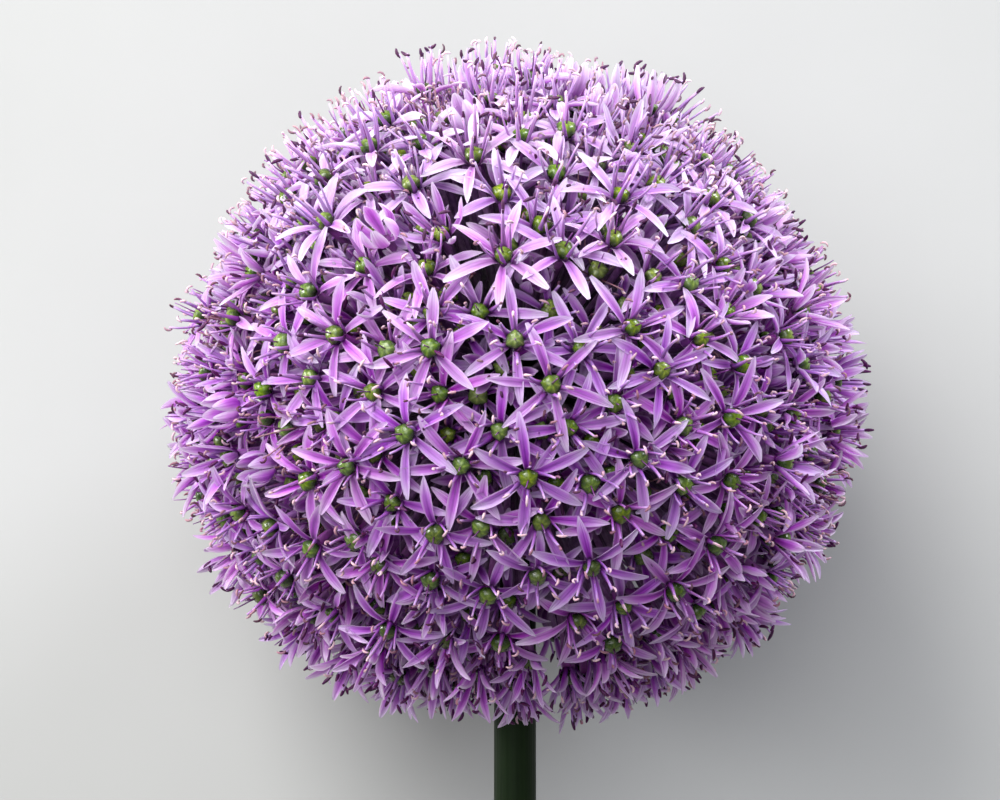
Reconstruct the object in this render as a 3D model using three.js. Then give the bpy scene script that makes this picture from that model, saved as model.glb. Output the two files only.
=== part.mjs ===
// The cut flower of a large ornamental onion, lying on its side on a flat surface. A ball of some hundreds of
// star-shaped florets stands on thin stalks around a small knob, the receptacle, at the top of a bare stem.
//
// Everything is worked out in the flower's own upright frame, in millimetres: the centre of the knob is the
// origin, the crown of the head is +Z, and the side that shows when it lies down is -Y. Then it is laid down:
// the head rests on its own petals, which give a little there, and the cut end of the stem touches the
// surface.

import * as THREE from "three";

// The head
const HEAD_RADIUS = 75; // centre to the tips of the stamens
const FLATNESS = 0.04; // how much shorter the head is along its stem than across it
const FULLNESS = 0.1; // how much fuller it is under its middle than over it
const FLORET_SPACING = 11; // between the hearts of neighbouring florets
const LATTICE_POINTS = 455; // places for florets before some are taken by those set by hand
const SPREAD_ROUNDS = 24; // rounds in which the florets push each other apart
const SPREAD_STEP = 0.4; // how far a floret follows the push on it in one round
const PARTING_PUSH = 3; // how much harder a parting pushes than a floret
const HAND_SET_SHARE = 0.7; // of the spacing, that the others keep from florets set by hand
const STEM_CLEARANCE = THREE.MathUtils.degToRad(12); // no floret stands nearer than this to the stem's axis

// One floret
const FLORET_HEIGHT = 9.5; // foot of the petals to the tips of the stamens
const OVARY_HEIGHT = 2.6; // foot of the petals to the middle of the ovary
const DEPTH_SPREAD = 3.2; // how far the lowest florets sit under the highest
const STAR_RADIUS = 5.6; // the six petals, half closed
const STAR_SHARE = 0.47; // of the way to the nearest floret, that the petals may take
const NOTCH_SHARE = 0.42; // of the star's radius, at the notches between petals
const TIP_HEIGHT = 5.4; // petal tips above the foot of the petals
const NOTCH_HEIGHT = 3.0;

// A closed floret, which sits deeper between the open ones
const CLOSED_SHARE = 0.2; // of the florets that aren't set by hand
const CLOSED_RADIUS = 2;
const CLOSED_HEIGHT = 7;
const CLOSED_WAIST = 3.2; // height of its widest part

// Floret stalks, which spring in groups from a common foot on the knob
const GROUPS = 56;
const GROUP_LIMIT = THREE.MathUtils.degToRad(165); // lowest group, measured from the crown
const FOOT_LIMIT = THREE.MathUtils.degToRad(130); // lowest foot on the knob, which keeps off the stem
const FOOT_INNER = 8.1; // centre of the knob to the underside of a foot
const FOOT_OUTER = 10.3;
const FOOT_RADIUS_INNER = 1.4;
const FOOT_RADIUS_OUTER = 2.1;
const FOOT_SIDES = 6;
const STALK_FAN = 0.075; // how far apart the stalks begin, as a share of how far apart they end
const STALK_RADIUS_LOW = 0.26;
const STALK_RADIUS_HIGH = 0.7;

// The stem and its knob
const KNOB_RADIUS = 7.6;
const KNOB_LOW = 135; // degrees from its top to where the stem takes over
const KNOB_STEP = 22.5;
const STEM_LENGTH = 240; // centre of the knob to the cut end
const STEM_RADIUS_TOP = 4.3;
const STEM_RADIUS_CUT = 4.8;
const STEM_STRAIGHT = 95; // under the centre of the knob, before it bends
const STEM_BEND = 0.0006; // sideways bend, per millimetre squared of the rest
const STEM_SIDES = 18;
const STEM_STEPS = 8;

// How it lies
const HEAD_CENTRE = new THREE.Vector3(0, 80.8, 72.2);
const PRESSED_BELOW = 16; // petals lower than this over the surface are pressed together
const PRESSED_SUNK = 4; // and this is how far the head would sink in if they stayed stiff

// Florets set by hand, so that the side that shows has them where they are on the real head. Each is a place
// in a picture 1000 wide and 800 high, taken from in front, and the turn of one petal in degrees.
const FRONT_VIEW = {
  centreX: 515,
  centreY: 384,
  pixelsPerMm: 4.77,
  distance: 650,
  lift: THREE.MathUtils.degToRad(5),
  rounds: 12, // to find how near to the viewer a place in the picture is
};
const FRONT_FLORETS = [
  [515, 340, 90], [504, 257, 25], [564, 251, 40], [632, 328, 10], [664, 371, 20], [584, 348, 0],
  [552, 385, 50], [500, 433, 30], [570, 429, 0], [620, 404, 20], [641, 460, 40], [689, 429, 35],
  [734, 417, 10], [528, 478, 30], [593, 486, 15], [541, 525, 0], [623, 516, 30], [593, 568, 45],
  [481, 532, 20], [434, 534, 50], [389, 507, 0], [459, 468, 10], [406, 435, 30], [438, 394, 15],
  [370, 393, 40], [328, 422, 5], [369, 456, 25], [347, 467, 50], [303, 484, 20], [309, 550, 0],
  [351, 547, 30], [377, 569, 10], [428, 588, 30], [488, 600, 15], [387, 632, 0], [578, 630, 20],
  [626, 613, 50], [676, 593, 10], [721, 549, 30], [738, 485, 0], [431, 348, 20], [430, 311, 50],
  [383, 350, 10], [336, 335, 30], [479, 309, 0], [304, 290, 25], [358, 262, 5], [326, 224, 40],
  [409, 182, 10], [473, 155, 30], [558, 169, 20], [621, 197, 0], [659, 182, 45], [696, 221, 20],
  [692, 283, 10], [658, 274, 40], [541, 221, 0], [439, 228, 30], [387, 240, 0], [323, 177, 20],
];

// Places in the same picture where the florets stand apart and the stalks show, with a radius in millimetres,
// and -1 for a place on the far side of the head
const FRONT_PARTINGS = [
  [456, 266, 7.5],
  [460, 198, 8.5],
  [530, 62, 5],
  [564, 676, 8],
  [564, 664, 10, -1],
];

// Colours
const FLORET_COLOURS = [0xa66bb8, 0x9c5fb0, 0xb07ac2];
const STEM_COLOUR = 0x3f5a2e;

const CROWN = new THREE.Vector3(0, 0, 1);
const GOLDEN_ANGLE = Math.PI * (3 - Math.sqrt(5));

// An even mix of 0 to 1 that is the same each time, for the small differences between florets
function chance(n, kind) {
  const x = Math.sin(n * 12.9898 + kind * 78.233) * 43758.5453;
  return x - Math.floor(x);
}

// The head is a little shorter towards the crown and the stem, and fullest under its middle
function stretch({ z }) {
  return 1 - FLATNESS * z * z - FULLNESS * z * (1 - z * z);
}

// The direction from the centre of the head to what shows at a place in the front view
function directionInView(x, y, side = 1) {
  const across = (x - FRONT_VIEW.centreX) / FRONT_VIEW.pixelsPerMm;
  const up = (FRONT_VIEW.centreY - y) / FRONT_VIEW.pixelsPerMm;
  const direction = new THREE.Vector3(0, -1, 0);
  let towards = HEAD_RADIUS;
  for (let round = 0; round < FRONT_VIEW.rounds; round += 1) {
    const nearer = 1 - towards / FRONT_VIEW.distance;
    const radius = (HEAD_RADIUS - FLORET_HEIGHT + OVARY_HEIGHT) * stretch(direction);
    const [a, b] = [across * nearer, up * nearer];
    towards = side * Math.sqrt(Math.max(0, radius * radius - a * a - b * b));
    direction.set(a, -towards, b).applyAxisAngle(new THREE.Vector3(1, 0, 0), -FRONT_VIEW.lift).normalize();
  }
  return direction;
}

function latticeDirection(n, count, lowest) {
  const z = 1 - ((1 - Math.cos(lowest)) * (n + 0.5)) / count;
  const ring = Math.sqrt(1 - z * z);
  return new THREE.Vector3(ring * Math.cos(n * GOLDEN_ANGLE), ring * Math.sin(n * GOLDEN_ANGLE), z);
}

// Where the florets stand: those set by hand, and the rest spread evenly but not in rows
function floretDirections() {
  const spacing = FLORET_SPACING / (HEAD_RADIUS - FLORET_HEIGHT);
  const florets = FRONT_FLORETS.map(([x, y, turn]) => ({ at: directionInView(x, y), turn, fixed: true }));
  for (let n = 0; n < LATTICE_POINTS; n += 1) {
    const at = latticeDirection(n, LATTICE_POINTS, Math.PI - STEM_CLEARANCE);
    at.x += (chance(n, 1) - 0.5) * spacing;
    at.y += (chance(n, 2) - 0.5) * spacing;
    at.z += (chance(n, 3) - 0.5) * spacing;
    at.normalize();
    if (florets.every((other) => !other.fixed || other.at.distanceTo(at) > spacing * HAND_SET_SHARE)) {
      florets.push({ at, turn: chance(n, 4) * 60, fixed: false });
    }
  }
  const partings = FRONT_PARTINGS.map(([x, y, radius, side]) => {
    return { at: directionInView(x, y, side), radius: radius / HEAD_RADIUS };
  });
  partings.push({ at: new THREE.Vector3(0, 0, -1), radius: 2 * Math.sin(STEM_CLEARANCE / 2) });
  for (let round = 0; round < SPREAD_ROUNDS; round += 1) {
    const pushes = florets.map((floret) => pushOn(floret, florets, partings, spacing));
    florets.forEach((floret, n) => {
      if (!floret.fixed) {
        floret.at.addScaledVector(pushes[n], SPREAD_STEP).normalize();
      }
    });
  }
  return florets;
}

function pushOn(floret, florets, partings, reach) {
  const push = new THREE.Vector3();
  const away = new THREE.Vector3();
  for (const other of florets) {
    away.subVectors(floret.at, other.at);
    const gap = away.length();
    if (gap > 0 && gap < reach) {
      push.addScaledVector(away, (reach - gap) / gap);
    }
  }
  for (const parting of partings) {
    away.subVectors(floret.at, parting.at);
    const gap = away.length();
    if (gap < parting.radius) {
      push.addScaledVector(away, (PARTING_PUSH * (parting.radius - gap)) / gap);
    }
  }
  return push;
}

// Gives each floret its depth in the head, its place, and how wide its star may open
function layOut() {
  const florets = floretDirections();
  florets.forEach((floret, n) => {
    const depth = floret.fixed ? 0.3 * chance(n, 5) : chance(n, 5);
    floret.closed = depth > 1 - CLOSED_SHARE;
    floret.base = HEAD_RADIUS - FLORET_HEIGHT - DEPTH_SPREAD * depth;
    floret.place = floret.at.clone().multiplyScalar(floret.base * stretch(floret.at));
  });
  for (const floret of florets) {
    const gaps = florets.map((other) => (other === floret ? Infinity : floret.place.distanceTo(other.place)));
    floret.reach = Math.min(STAR_RADIUS, STAR_SHARE * Math.min(...gaps));
  }
  return florets;
}

// The foot of a group stands on the knob under the middle of the group, drawn up a little from the stem
function footDirection(group) {
  const z = 1 - ((1 - group.z) * (1 - Math.cos(FOOT_LIMIT))) / (1 - Math.cos(GROUP_LIMIT));
  const out = Math.sqrt(1 - z * z) / Math.hypot(group.x, group.y);
  return new THREE.Vector3(group.x * out, group.y * out, z);
}

// Corners around an axis. The first direction is as far to the right of side as it goes.
function ringAround(centre, axis, side, corners, turn, cornerAt) {
  const first = new THREE.Vector3().crossVectors(side, axis).normalize();
  const second = new THREE.Vector3().crossVectors(axis, first).normalize();
  return Array.from({ length: corners }, (_, n) => {
    const angle = turn + (2 * Math.PI * n) / corners;
    const { radius, height } = cornerAt(n);
    return centre
      .clone()
      .addScaledVector(first, radius * Math.cos(angle))
      .addScaledVector(second, radius * Math.sin(angle))
      .addScaledVector(axis, height);
  });
}

// The rim of a floret: six petal tips with notches between, or the waist of a closed one
function floretRim(floret, side) {
  const turn = THREE.MathUtils.degToRad(floret.turn);
  if (floret.closed) {
    const waist = { radius: CLOSED_RADIUS, height: CLOSED_WAIST };
    return ringAround(floret.place, floret.at, side, 3, turn, () => waist);
  }
  const tip = { radius: floret.reach, height: TIP_HEIGHT };
  const notch = { radius: floret.reach * NOTCH_SHARE, height: NOTCH_HEIGHT };
  return ringAround(floret.place, floret.at, side, 12, turn, (n) => (n % 2 === 0 ? tip : notch));
}

// Adds one floret on its stalk. The three-sided stalk rises from three corners of its foot, opens into the
// star and closes over the ovary in a peak.
function addFloret(corners, faces, low, floret, side) {
  const axis = new THREE.Vector3().subVectors(floret.place, corners[low]).normalize();
  const turn = THREE.MathUtils.degToRad(floret.turn);
  const high = corners.length;
  const neck = { radius: STALK_RADIUS_HIGH, height: 0 };
  corners.push(...ringAround(floret.place, axis, side, 3, turn, () => neck));
  const rim = floretRim(floret, side);
  const perSide = rim.length / 3;
  const half = Math.floor(perSide / 2);
  const rimCorner = (n) => high + 3 + (n % rim.length);
  const peak = high + 3 + rim.length;
  const peakHeight = floret.closed ? CLOSED_HEIGHT : FLORET_HEIGHT * stretch(floret.at);
  corners.push(...rim, floret.place.clone().addScaledVector(floret.at, peakHeight));
  for (let n = 0; n < 3; n += 1) {
    const next = (n + 1) % 3;
    faces.push([low + n, low + next, high + n], [low + next, high + next, high + n]);
    for (let step = 0; step < perSide; step += 1) {
      const corner = rimCorner(n * perSide + step);
      const following = rimCorner(n * perSide + step + 1);
      faces.push([high + (step < half ? n : next), following, corner], [peak, corner, following]);
    }
    faces.push([high + n, high + next, rimCorner(n * perSide + half)]);
  }
}

// A group of florets as one body: a six-sided foot whose face has a three-cornered opening for each stalk
function groupGeometry(group, florets) {
  const foot = footDirection(group);
  const side = Math.abs(group.z) > 0.85 ? new THREE.Vector3(1, 0, 0) : CROWN;
  const right = new THREE.Vector3().crossVectors(side, foot).normalize();
  const up = new THREE.Vector3().crossVectors(foot, right).normalize();
  const inFoot = (x, y, z) =>
    new THREE.Vector3().addScaledVector(right, x).addScaledVector(up, y).addScaledVector(foot, z);
  const polygon = (x, y, radius, count, turn) =>
    Array.from({ length: count }, (_, n) => {
      const angle = turn + (2 * Math.PI * n) / count;
      return new THREE.Vector2(x + radius * Math.cos(angle), y + radius * Math.sin(angle));
    });
  const outline = polygon(0, 0, FOOT_RADIUS_OUTER, FOOT_SIDES, 0);
  const middle = group.clone().multiplyScalar(HEAD_RADIUS - FLORET_HEIGHT);
  const openings = florets.map((floret) => {
    const away = floret.place.clone().sub(middle).multiplyScalar(STALK_FAN);
    return polygon(away.dot(right), away.dot(up), STALK_RADIUS_LOW, 3, THREE.MathUtils.degToRad(floret.turn));
  });
  const corners = [...outline, ...openings.flat()].map(({ x, y }) => inFoot(x, y, FOOT_OUTER));
  const faces = THREE.ShapeUtils.triangulateShape(outline, openings);
  const lower = corners.length;
  const underside = polygon(0, 0, FOOT_RADIUS_INNER, FOOT_SIDES, 0);
  corners.push(...underside.map(({ x, y }) => inFoot(x, y, FOOT_INNER)));
  for (let n = 0; n < FOOT_SIDES; n += 1) {
    const next = (n + 1) % FOOT_SIDES;
    faces.push([lower + n, lower + next, n], [lower + next, next, n]);
  }
  for (let n = 2; n < FOOT_SIDES; n += 1) {
    faces.push([lower, lower + n, lower + n - 1]);
  }
  florets.forEach((floret, n) => addFloret(corners, faces, FOOT_SIDES + 3 * n, floret, side));
  const geometry = new THREE.BufferGeometry().setFromPoints(corners);
  geometry.setIndex(faces.flat());
  return geometry;
}

// The stem with its knob: a turned shape, straight under the head and then bent a little to one side
function scapeGeometry() {
  const profile = [new THREE.Vector2(0, -STEM_LENGTH)];
  for (let step = 0; step <= STEM_STEPS; step += 1) {
    const share = step / STEM_STEPS;
    const radius = THREE.MathUtils.lerp(STEM_RADIUS_CUT, STEM_RADIUS_TOP, share);
    profile.push(new THREE.Vector2(radius, THREE.MathUtils.lerp(-STEM_LENGTH, -KNOB_RADIUS * 0.9, share)));
  }
  for (let angle = KNOB_LOW; angle > 0; angle -= KNOB_STEP) {
    const a = THREE.MathUtils.degToRad(angle);
    profile.push(new THREE.Vector2(KNOB_RADIUS * Math.sin(a), KNOB_RADIUS * Math.cos(a)));
  }
  profile.push(new THREE.Vector2(0, KNOB_RADIUS));
  const geometry = new THREE.LatheGeometry(profile, STEM_SIDES).rotateX(Math.PI / 2);
  const place = geometry.attributes.position;
  for (let n = 0; n < place.count; n += 1) {
    const along = Math.max(0, -place.getZ(n) - STEM_STRAIGHT);
    place.setX(n, place.getX(n) + STEM_BEND * along * along);
  }
  return geometry;
}

// The stem's slope when the head and the rim of the cut end both touch the surface
const RIM_DISTANCE = Math.hypot(STEM_LENGTH, STEM_RADIUS_CUT);
const SLOPE = Math.asin(HEAD_CENTRE.z / RIM_DISTANCE) - Math.atan2(STEM_RADIUS_CUT, STEM_LENGTH);

// Lays a shape on its side, and presses together what would lie under the surface
function layDown(geometry) {
  geometry.rotateX(SLOPE - Math.PI / 2);
  const power = (PRESSED_BELOW + PRESSED_SUNK) / PRESSED_BELOW;
  const place = geometry.attributes.position;
  for (let n = 0; n < place.count; n += 1) {
    const height = place.getZ(n) + HEAD_CENTRE.z;
    if (height < PRESSED_BELOW && place.getY(n) > -HEAD_RADIUS) {
      const share = Math.max(0, (height + PRESSED_SUNK) / (PRESSED_BELOW + PRESSED_SUNK));
      place.setZ(n, PRESSED_BELOW * share ** power - HEAD_CENTRE.z);
    }
  }
  geometry.computeVertexNormals();
  return geometry;
}

const flower = new THREE.Group();
flower.position.copy(HEAD_CENTRE);

function addPiece(name, geometry, color, roughness) {
  const piece = new THREE.Mesh(geometry, new THREE.MeshStandardMaterial({ color, roughness, metalness: 0 }));
  piece.name = name;
  flower.add(piece);
}

addPiece("scape", layDown(scapeGeometry()), STEM_COLOUR, 0.5);

const groups = Array.from({ length: GROUPS }, (_, n) => latticeDirection(n, GROUPS, GROUP_LIMIT));
const florets = layOut();
for (const floret of florets) {
  const gaps = groups.map((group) => group.distanceTo(floret.at));
  floret.group = groups[gaps.indexOf(Math.min(...gaps))];
}
groups.forEach((group, n) => {
  const members = florets.filter((floret) => floret.group === group);
  const name = `cyme_${String(n + 1).padStart(2, "0")}`;
  addPiece(name, layDown(groupGeometry(group, members)), FLORET_COLOURS[n % FLORET_COLOURS.length], 0.55);
});

export default flower;
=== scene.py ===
import math

import bmesh
import bpy
import numpy as np
from mathutils import Matrix, Vector


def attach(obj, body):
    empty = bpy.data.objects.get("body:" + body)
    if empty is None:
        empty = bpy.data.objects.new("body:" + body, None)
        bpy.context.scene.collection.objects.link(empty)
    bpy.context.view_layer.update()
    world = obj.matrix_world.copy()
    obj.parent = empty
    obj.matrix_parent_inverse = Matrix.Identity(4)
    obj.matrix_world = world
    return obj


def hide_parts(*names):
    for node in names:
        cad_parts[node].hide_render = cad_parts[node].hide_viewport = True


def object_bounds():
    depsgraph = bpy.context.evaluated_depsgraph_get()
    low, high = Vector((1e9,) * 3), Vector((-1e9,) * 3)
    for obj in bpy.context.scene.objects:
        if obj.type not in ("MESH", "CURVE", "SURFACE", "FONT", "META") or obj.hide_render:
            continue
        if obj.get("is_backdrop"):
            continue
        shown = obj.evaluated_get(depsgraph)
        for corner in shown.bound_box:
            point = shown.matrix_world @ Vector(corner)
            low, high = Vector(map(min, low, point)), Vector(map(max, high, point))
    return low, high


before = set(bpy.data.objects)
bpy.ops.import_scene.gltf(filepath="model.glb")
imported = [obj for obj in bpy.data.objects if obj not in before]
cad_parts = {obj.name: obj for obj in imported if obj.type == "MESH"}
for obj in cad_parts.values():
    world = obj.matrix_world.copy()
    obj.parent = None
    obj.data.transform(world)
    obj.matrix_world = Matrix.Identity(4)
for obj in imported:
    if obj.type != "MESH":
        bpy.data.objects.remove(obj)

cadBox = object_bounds()
print("frame loaded:", len(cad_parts), "nodes")

mm = 0.001
goldenAngle = math.pi * (3 - math.sqrt(5))

# The head as the CAD model has it, in its own upright frame: crown up +Z, the side that shows towards -Y
head = {
    "centre": Vector((0, 80.8, 72.2)) * mm,
    "radius": 75 * mm,
    "flatness": 0.04,  # how much shorter it is along the stem than across
    "fullness": 0.1,  # how much fuller it is under its middle than over it
    "spacing": 11 * mm,  # between the hearts of neighbouring florets
    "latticePoints": 455,
    "spreadRounds": 24,
    "stemClearance": math.radians(12),
    "depthSpread": 3.2 * mm,
    "closedShare": 0.2,
    "spreadStep": 0.4,  # of each push
    "partingPush": 3,
    "handSetRoom": 0.7,  # how far the others keep from those listed, as a share of the spacing
    "handSetDepth": 0.3,
    "groups": 56,
    "groupLimit": math.radians(165),
    "footLimit": math.radians(130),
}
floretHeight = 9.5 * mm  # foot of the petals to the tips of the stamens
ovaryHeight = 2.6 * mm
stem = {
    "length": 240 * mm,
    "knob": 7.6 * mm,
    "radiusTop": 4.3 * mm,
    "radiusCut": 4.8 * mm,
    "straight": 95 * mm,  # under the middle of the head, before it bends
    "bend": 0.0006 / mm,
    "sides": 40,
    "steps": 28,
    "rim": 0.35 * mm,
    "pith": 0.86,  # share of the radius of the cut
    "edge": 0.985,
    "knobFrom": 135,  # degrees from the crown, and the steps of its outline
    "knobStep": 9,
}
pressed = {"below": 16 * mm, "sunk": 6 * mm}  # petals under this height lie pressed together on the floor
slope = math.asin(head["centre"].z / math.hypot(stem["length"], stem["radiusCut"])) - math.atan2(
    stem["radiusCut"], stem["length"]
)
lieDown = Matrix.Rotation(slope - math.pi / 2, 3, "X")

# The view from the front. Places in it are pixels of a picture 1000 wide and 800 high.
view = {
    "centreX": 515,
    "centreY": 384,
    "pixelsPerMm": 4.77,
    "distance": 650 * mm,
    "lift": math.radians(5),
    "width": 1000,
    "height": 800,
    "rounds": 12,  # of finding a place on the head
}
# Florets given one by one: x, y, turn of one petal in degrees, and how far it has opened where that isn't
# fully
frontFlorets = [
    [515, 340, 90], [504, 257, 25], [564, 251, 40], [632, 328, 10], [664, 371, 20], [584, 348, 0],
    [552, 385, 50], [500, 433, 30], [570, 429, 0], [620, 404, 20], [641, 460, 40], [689, 429, 35],
    [734, 417, 10], [528, 478, 30], [593, 486, 15], [541, 525, 0], [623, 516, 30], [593, 568, 45],
    [481, 532, 20], [434, 534, 50], [389, 507, 0], [459, 468, 10], [406, 435, 30], [438, 394, 15],
    [370, 393, 40], [328, 422, 5], [369, 456, 25], [347, 467, 50], [303, 484, 20], [309, 550, 0],
    [351, 547, 30], [377, 569, 10], [428, 588, 30], [488, 600, 15], [387, 632, 0], [578, 630, 20],
    [626, 613, 50], [676, 593, 10], [721, 549, 30], [738, 485, 0], [431, 348, 20], [430, 311, 50],
    [383, 350, 10], [336, 335, 30], [479, 309, 0], [304, 290, 25], [358, 262, 5], [326, 224, 40],
    [409, 182, 10], [473, 155, 30], [558, 169, 20], [621, 197, 0], [659, 182, 45], [696, 221, 20],
    [692, 283, 10], [658, 274, 40], [541, 221, 0], [439, 228, 30, "young"], [387, 240, 0, "bud"],
    [323, 177, 20],
]
# Where florets stand apart and the stalks show: x, y, radius in millimetres, and -1 on the far side
frontPartings = [[456, 266, 7.5], [460, 198, 8.5], [530, 62, 5], [564, 676, 8], [564, 664, 10, -1]]
sightGap = {"at": (562, 662), "radius": 8 * mm, "steps": 8}  # and where one sees right through the head


# Neighbours stand a little over or under each other, so that fewer of their petals meet
layering = {"order": (0, 1, -1), "step": 1.1 * mm, "reach": 1.8}


def chance(n, kind):  # an even mix of 0 to 1, the same each time
    x = math.sin(n * 12.9898 + kind * 78.233) * 43758.5453
    return x - math.floor(x)


def spread(n, kind, middle, width):
    return middle + (chance(n, kind) - 0.5) * width


def stretch(direction):
    z = direction[2]
    return 1 - head["flatness"] * z * z - head["fullness"] * z * (1 - z * z)


def directionInView(x, y, side=1):
    across = (x - view["centreX"]) / view["pixelsPerMm"] * mm
    up = (view["centreY"] - y) / view["pixelsPerMm"] * mm
    direction = np.array((0.0, -1.0, 0.0))
    towards = head["radius"]
    for _ in range(view["rounds"]):
        nearer = 1 - towards / view["distance"]
        radius = (head["radius"] - floretHeight + ovaryHeight) * stretch(direction)
        a, b = across * nearer, up * nearer
        towards = side * math.sqrt(max(0, radius**2 - a * a - b * b))
        turned = (a, b * math.sin(view["lift"]) - towards * math.cos(view["lift"]),
                  towards * math.sin(view["lift"]) + b * math.cos(view["lift"]))
        direction = np.array(turned) / math.hypot(*turned)
    return direction


def latticeDirection(n, count, lowest):
    z = 1 - (1 - math.cos(lowest)) * (n + 0.5) / count
    ring = math.sqrt(1 - z * z)
    return np.array((ring * math.cos(n * goldenAngle), ring * math.sin(n * goldenAngle), z))


def pushApart(places, others, reach, strength):
    away = places[:, None] - others[None]
    gap = np.linalg.norm(away, axis=2)
    share = np.where((gap > 1e-9) & (gap < reach), strength * (reach - gap) / np.maximum(gap, 1e-9), 0)
    return (away * share[:, :, None]).sum(axis=1)


def unit(places):
    return places / np.linalg.norm(places, axis=1)[:, None]


def jittered(n, count, spacing, kind):
    at = latticeDirection(n, count, math.pi - head["stemClearance"])
    at = at + np.array([chance(n, kind + k) - 0.5 for k in range(3)]) * spacing
    return at / np.linalg.norm(at)


def nearest(places, at):
    return np.linalg.norm(np.array(places) - at, axis=1).min() if len(places) else math.inf


def partingsInView():
    return [
        (directionInView(x, y, *side), radius * mm / head["radius"])
        for x, y, radius, *side in frontPartings
    ]


def gapsThrough():  # along one line of sight, from the near side of the head to the far one
    near, far = directionInView(*sightGap["at"]), directionInView(*sightGap["at"], -1)
    places = [near + (far - near) * (n + 0.5) / sightGap["steps"] for n in range(sightGap["steps"])]
    return [(place / np.linalg.norm(place), sightGap["radius"] / head["radius"]) for place in places]


def layerOf(n, places, layers, reach):  # the one that the fewest florets nearby are in
    gaps = np.linalg.norm(places[:n] - places[n], axis=1)
    crowds = [sum(reach - gap for gap, other in zip(gaps, layers) if other == layer and gap < reach)
              for layer in layering["order"]]
    return layering["order"][crowds.index(min(crowds))]


def layOutFlorets():
    spacing = head["spacing"] / (head["radius"] - floretHeight)
    places = [directionInView(*floret[:2]) for floret in frontFlorets]
    turns = [floret[2] for floret in frontFlorets]
    handSet = np.array(places)
    for n in range(head["latticePoints"]):
        at = jittered(n, head["latticePoints"], spacing, 1)
        if nearest(handSet, at) > spacing * head["handSetRoom"]:
            places.append(at)
            turns.append(chance(n, 4) * 60)
    places = np.array(places)
    free = np.arange(len(places)) >= len(handSet)
    partings = partingsInView()
    partings.append((np.array((0.0, 0.0, -1.0)), 2 * math.sin(head["stemClearance"] / 2)))
    for _ in range(head["spreadRounds"]):
        push = pushApart(places, places, spacing, 1)
        for at, radius in partings:
            push += pushApart(places, at[None], radius, head["partingPush"])
        places = np.where(free[:, None], unit(places + push * head["spreadStep"]), places)
    florets = []
    layers = []
    for n, (at, turn) in enumerate(zip(places, turns)):
        depth = chance(n, 5) * (1 if free[n] else head["handSetDepth"])
        layers.append(layerOf(n, places, layers, spacing * layering["reach"]))
        base = head["radius"] - floretHeight - head["depthSpread"] * depth + layering["step"] * layers[n]
        stage = None if free[n] or len(frontFlorets[n]) < 4 else frontFlorets[n][3]
        florets.append({
            "at": Vector(at), "turn": math.radians(turn), "base": base * stretch(at), "number": n,
            "handSet": not free[n], "closed": depth > 1 - head["closedShare"], "deep": False, "stage": stage,
        })
    return florets, places


# Florets that sit too deep to be in the CAD solids fill the gaps between the others
deepFlorets = {
    "candidates": 520,
    "reach": 0.66,  # how far they keep from the others, as a share of the spacing
    "apart": 0.9,  # and from each other
    "rounds": 12,
    "least": 0.48,
    "leastApart": 0.74,
    "closerUp": 0.12,  # how much less of both at the crown
    "push": 0.6,
    "depth": 3.8 * mm,
    "spread": 4.6 * mm,
    "closedShare": 0.25,
    "firstNumber": 1000,
}
frontDeepFlorets = [
    [440, 284, 20, "spent"], [500, 366, 10, "young"], [606, 263, 40, "spent"], [662, 334, 0, "spent"],
    [331, 317, 30, "young"], [402, 318, 0, "spent"], [560, 352, 15, "bud"], [552, 300, 35, "open"],
    [421, 300, 50, "spent"], [395, 292, 5, "spent"], [545, 436, 20, "open"], [600, 446, 0, "young"],
    [476, 490, 40, "open"], [440, 440, 10, "young"], [412, 372, 25, "open"], [472, 396, 0, "open"],
]


def layOutDeepFlorets(outer):
    spacing = head["spacing"] / (head["radius"] - floretHeight)
    handSet = [directionInView(x, y) for x, y, _, _ in frontDeepFlorets]
    places = [jittered(n, deepFlorets["candidates"], spacing, 30) for n in range(deepFlorets["candidates"])]
    places = np.array(handSet + places)
    free = np.arange(len(places)) >= len(handSet)
    for _ in range(deepFlorets["rounds"]):
        push = pushApart(places, outer, spacing * deepFlorets["reach"], 1)
        push += pushApart(places, places, spacing * deepFlorets["apart"], deepFlorets["push"])
        places = np.where(free[:, None], unit(places + push * head["spreadStep"]), places)
    gaps = partingsInView() + gapsThrough()
    florets = []
    kept = []
    for n, at in enumerate(places):
        closer = deepFlorets["closerUp"] * max(0, at[2])
        room = nearest(outer, at) > spacing * (deepFlorets["least"] - closer)
        apart = nearest(kept, at) >= spacing * (deepFlorets["leastApart"] - closer)
        clear = all(np.linalg.norm(place - at) > radius for place, radius in gaps)
        nearStem = at[2] < -math.cos(head["stemClearance"])
        if free[n] and (nearStem or not (room and apart and clear)):
            continue
        kept.append(at)
        depth = deepFlorets["depth"] + deepFlorets["spread"] * chance(n, 35)
        base = (head["radius"] - floretHeight - depth) * stretch(at)
        florets.append({
            "at": Vector(at), "turn": chance(n, 34) * math.tau, "base": base,
            "number": deepFlorets["firstNumber"] + n, "handSet": False,
            "closed": chance(n, 36) < deepFlorets["closedShare"], "deep": True,
            "stage": None if free[n] else frontDeepFlorets[n][3],
        })
    return florets


florets, outerPlaces = layOutFlorets()
florets += layOutDeepFlorets(outerPlaces)
groups = [latticeDirection(n, head["groups"], head["groupLimit"]) for n in range(head["groups"])]
for floret in florets:
    gaps = [np.linalg.norm(group - np.array(floret["at"])) for group in groups]
    floret["group"] = gaps.index(min(gaps))
print("florets:", len(outerPlaces), "outer,", len(florets) - len(outerPlaces), "deep")


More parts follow.
